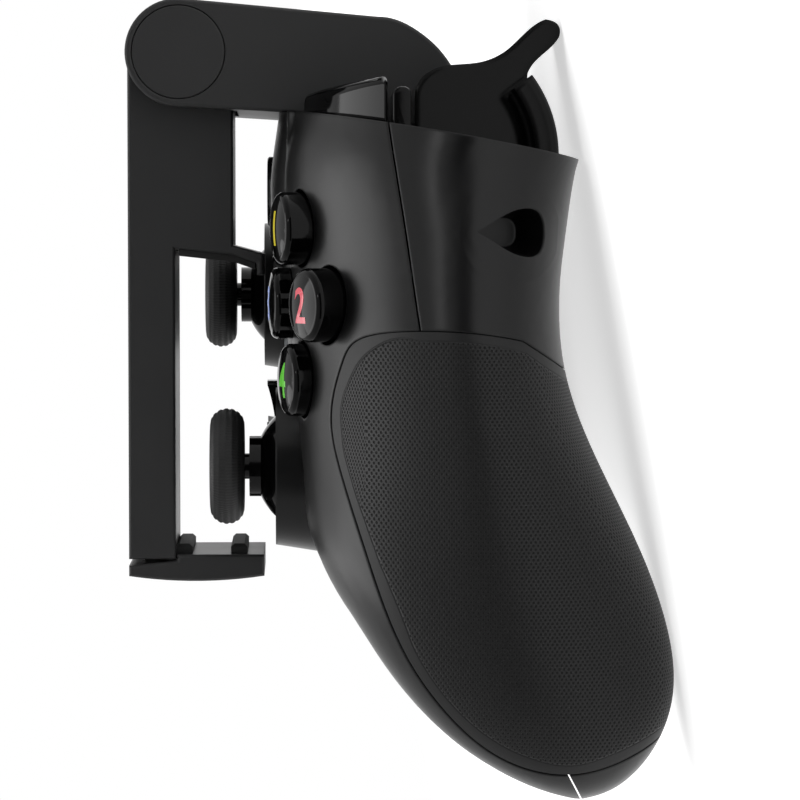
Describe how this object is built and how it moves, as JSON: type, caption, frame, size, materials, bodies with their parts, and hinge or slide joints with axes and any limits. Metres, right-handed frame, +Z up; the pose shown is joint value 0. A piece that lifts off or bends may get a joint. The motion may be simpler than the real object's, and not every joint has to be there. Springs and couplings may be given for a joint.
{
  "type": "game controller with phone clip",
  "caption": "Hand-held game controller with thumb sticks, direction pad, buttons, hooked triggers and a folding sprung clip that holds a phone above the face.",
  "frame": {"origin": "bottom centre of the bounding box, on the surface that the grips and the rear edge rest on", "axes": "+X towards the player's right hand, +Y from the grips to the triggers, +Z up from the surface"},
  "size_m": [0.1552, 0.1256, 0.0782],
  "materials": {
    "casing": "satin black",
    "gloss_black": "gloss black",
    "clip_grey": "satin dark grey",
    "grip_rubber": "dimpled matt black",
    "stick_rubber": "knurled matt black",
    "mat_rubber": "matt grey",
    "steel": "brushed",
    "brass": "plain",
    "board": "green lacquer",
    "cell": "wrapped foil",
    "home_cap": "gloss dark grey",
    "light": "clear white"
  },
  "bodies": {
    "handset": {"front_shell": "casing", "rear_shell": "casing", "right_grip_pad": "grip_rubber", "left_grip_pad": "grip_rubber", "top_bridge": "gloss_black", "usb_c_port": "steel", "casing_screws": "steel", "clip_screws": "steel", "clip_arm": "clip_grey", "hinge_pin": "steel", "right_hinge_disc": "clip_grey", "left_hinge_disc": "clip_grey", "hinge_washers": "grip_rubber", "main_board": "board", "battery": "cell", "action_button_mat": "mat_rubber", "status_light": "light", "right_rumble_motor": "steel", "left_rumble_motor": "steel", "right_shoulder_bracket": "gloss_black", "left_shoulder_bracket": "gloss_black", "right_trigger_pin": "steel", "left_trigger_pin": "steel", "right_trigger_spring": "steel", "left_trigger_spring": "steel", "right_stick_housing": "steel", "left_stick_housing": "steel"},
    "clip": {"clip_body": "clip_grey", "clip_cover": "clip_grey", "upper_jaw_pad": "grip_rubber", "jaw_springs": "steel"},
    "jaw": {"sliding_jaw": "clip_grey", "lower_jaw_pads": "grip_rubber"},
    "right_stick_yoke": {"right_stick_yoke": "gloss_black"},
    "right_stick_stem": {"right_stick_stem": "gloss_black"},
    "right_stick_cap": {"right_stick_cap": "stick_rubber"},
    "left_stick_yoke": {"left_stick_yoke": "gloss_black"},
    "left_stick_stem": {"left_stick_stem": "gloss_black"},
    "left_stick_cap": {"left_stick_cap": "stick_rubber"},
    "direction_pad_pivot": {"direction_pad_pivot": "gloss_black"},
    "direction_pad": {"direction_pad": "gloss_black"},
    "button_one": {"button_one": "gloss_black"},
    "button_two": {"button_two": "gloss_black"},
    "button_three": {"button_three": "gloss_black"},
    "button_four": {"button_four": "gloss_black"},
    "home_button": {"home_button": "home_cap"},
    "view_button": {"view_button": "gloss_black"},
    "menu_button": {"menu_button": "gloss_black"},
    "share_button": {"share_button": "gloss_black"},
    "mode_switch": {"mode_switch": "gloss_black"},
    "right_bumper": {"right_bumper": "gloss_black"},
    "left_bumper": {"left_bumper": "gloss_black"},
    "right_trigger": {"right_trigger": "gloss_black"},
    "left_trigger": {"left_trigger": "gloss_black"},
    "right_rumble_weight": {"right_rumble_weight": "brass"},
    "left_rumble_weight": {"left_rumble_weight": "brass"}
  },
  "joints": [
    {"name": "clip_fold", "type": "hinge", "parent": "handset", "child": "clip", "pos_m": [0, 0.05448, 0.05612], "axis": [-1, 0, 0], "range_deg": [0, 165]},
    {"name": "jaw_slide", "type": "slide", "parent": "clip", "child": "jaw", "axis": [0, -0.9857, 0.1685], "range_m": [0, 0.045], "stiffness_N_per_m": 60, "springref_m": -0.03},
    {"name": "right_stick_tilt_up", "type": "hinge", "parent": "handset", "child": "right_stick_yoke", "pos_m": [0.019, -0.01258, 0.04486], "axis": [1, 0, 0], "range_deg": [-18, 18], "stiffness_Nm_per_rad": 0.02},
    {"name": "right_stick_tilt_across", "type": "hinge", "parent": "right_stick_yoke", "child": "right_stick_stem", "pos_m": [0.019, -0.01258, 0.04486], "axis": [0, 0.9857, -0.1685], "range_deg": [-18, 18], "stiffness_Nm_per_rad": 0.02},
    {"name": "right_stick_click", "type": "slide", "parent": "right_stick_stem", "child": "right_stick_cap", "axis": [0, -0.1685, -0.9857], "range_m": [0, 0.0005], "stiffness_N_per_m": 4000},
    {"name": "left_stick_tilt_up", "type": "hinge", "parent": "handset", "child": "left_stick_yoke", "pos_m": [-0.038, 0.01313, 0.0427], "axis": [1, 0, 0], "range_deg": [-18, 18], "stiffness_Nm_per_rad": 0.02},
    {"name": "left_stick_tilt_across", "type": "hinge", "parent": "left_stick_yoke", "child": "left_stick_stem", "pos_m": [-0.038, 0.01313, 0.0427], "axis": [0, 0.9857, -0.1685], "range_deg": [-18, 18], "stiffness_Nm_per_rad": 0.02},
    {"name": "left_stick_click", "type": "slide", "parent": "left_stick_stem", "child": "left_stick_cap", "axis": [0, -0.1685, -0.9857], "range_m": [0, 0.0005], "stiffness_N_per_m": 4000},
    {"name": "direction_pad_tilt_up", "type": "hinge", "parent": "handset", "child": "direction_pad_pivot", "pos_m": [-0.02, -0.01069, 0.04697], "axis": [1, 0, 0], "range_deg": [-6, 6], "stiffness_Nm_per_rad": 0.3},
    {"name": "direction_pad_tilt_across", "type": "hinge", "parent": "direction_pad_pivot", "child": "direction_pad", "pos_m": [-0.02, -0.01069, 0.04697], "axis": [0, 0.9857, -0.1685], "range_deg": [-6, 6], "stiffness_Nm_per_rad": 0.3},
    {"name": "button_one_press", "type": "slide", "parent": "handset", "child": "button_one", "axis": [-0.2588, -0.1627, -0.9521], "range_m": [0, 0.0015], "stiffness_N_per_m": 700},
    {"name": "button_two_press", "type": "slide", "parent": "handset", "child": "button_two", "axis": [-0.4226, -0.1527, -0.8934], "range_m": [0, 0.0015], "stiffness_N_per_m": 700},
    {"name": "button_three_press", "type": "slide", "parent": "handset", "child": "button_three", "axis": [-0.1045, -0.1676, -0.9803], "range_m": [0, 0.0015], "stiffness_N_per_m": 700},
    {"name": "button_four_press", "type": "slide", "parent": "handset", "child": "button_four", "axis": [-0.2588, -0.1627, -0.9521], "range_m": [0, 0.0015], "stiffness_N_per_m": 700},
    {"name": "home_button_press", "type": "slide", "parent": "handset", "child": "home_button", "axis": [0, -0.1685, -0.9857], "range_m": [0, 0.0008], "stiffness_N_per_m": 1500},
    {"name": "view_button_press", "type": "slide", "parent": "handset", "child": "view_button", "axis": [0, -0.1685, -0.9857], "range_m": [0, 0.0008], "stiffness_N_per_m": 1500},
    {"name": "menu_button_press", "type": "slide", "parent": "handset", "child": "menu_button", "axis": [0, -0.1685, -0.9857], "range_m": [0, 0.0008], "stiffness_N_per_m": 1500},
    {"name": "share_button_press", "type": "slide", "parent": "handset", "child": "share_button", "axis": [0, -0.1685, -0.9857], "range_m": [0, 0.0008], "stiffness_N_per_m": 1500},
    {"name": "mode_switch_slide", "type": "slide", "parent": "handset", "child": "mode_switch", "axis": [1, 0, 0], "range_m": [-0.0018, 0.0018]},
    {"name": "right_bumper_press", "type": "hinge", "parent": "handset", "child": "right_bumper", "pos_m": [0.022, 0.03954, 0.03281], "axis": [0, -0.1685, -0.9857], "range_deg": [0, 2], "stiffness_Nm_per_rad": 2.8},
    {"name": "right_trigger_pull", "type": "hinge", "parent": "handset", "child": "right_trigger", "pos_m": [0.0438, 0.03172, 0.02268], "axis": [-1, 0, 0], "range_deg": [0, 14], "stiffness_Nm_per_rad": 0.2},
    {"name": "right_rumble_spin", "type": "hinge", "parent": "handset", "child": "right_rumble_weight", "pos_m": [0.061, -0.02242, 0.01753], "axis": [0, 0.9857, -0.1685], "continuous": true},
    {"name": "left_bumper_press", "type": "hinge", "parent": "handset", "child": "left_bumper", "pos_m": [-0.022, 0.03954, 0.03281], "axis": [0, 0.1685, 0.9857], "range_deg": [0, 2], "stiffness_Nm_per_rad": 2.8},
    {"name": "left_trigger_pull", "type": "hinge", "parent": "handset", "child": "left_trigger", "pos_m": [-0.0438, 0.03172, 0.02268], "axis": [-1, 0, 0], "range_deg": [0, 14], "stiffness_Nm_per_rad": 0.2},
    {"name": "left_rumble_spin", "type": "hinge", "parent": "handset", "child": "left_rumble_weight", "pos_m": [-0.061, -0.02242, 0.01753], "axis": [0, 0.9857, -0.1685], "continuous": true}
  ]
}
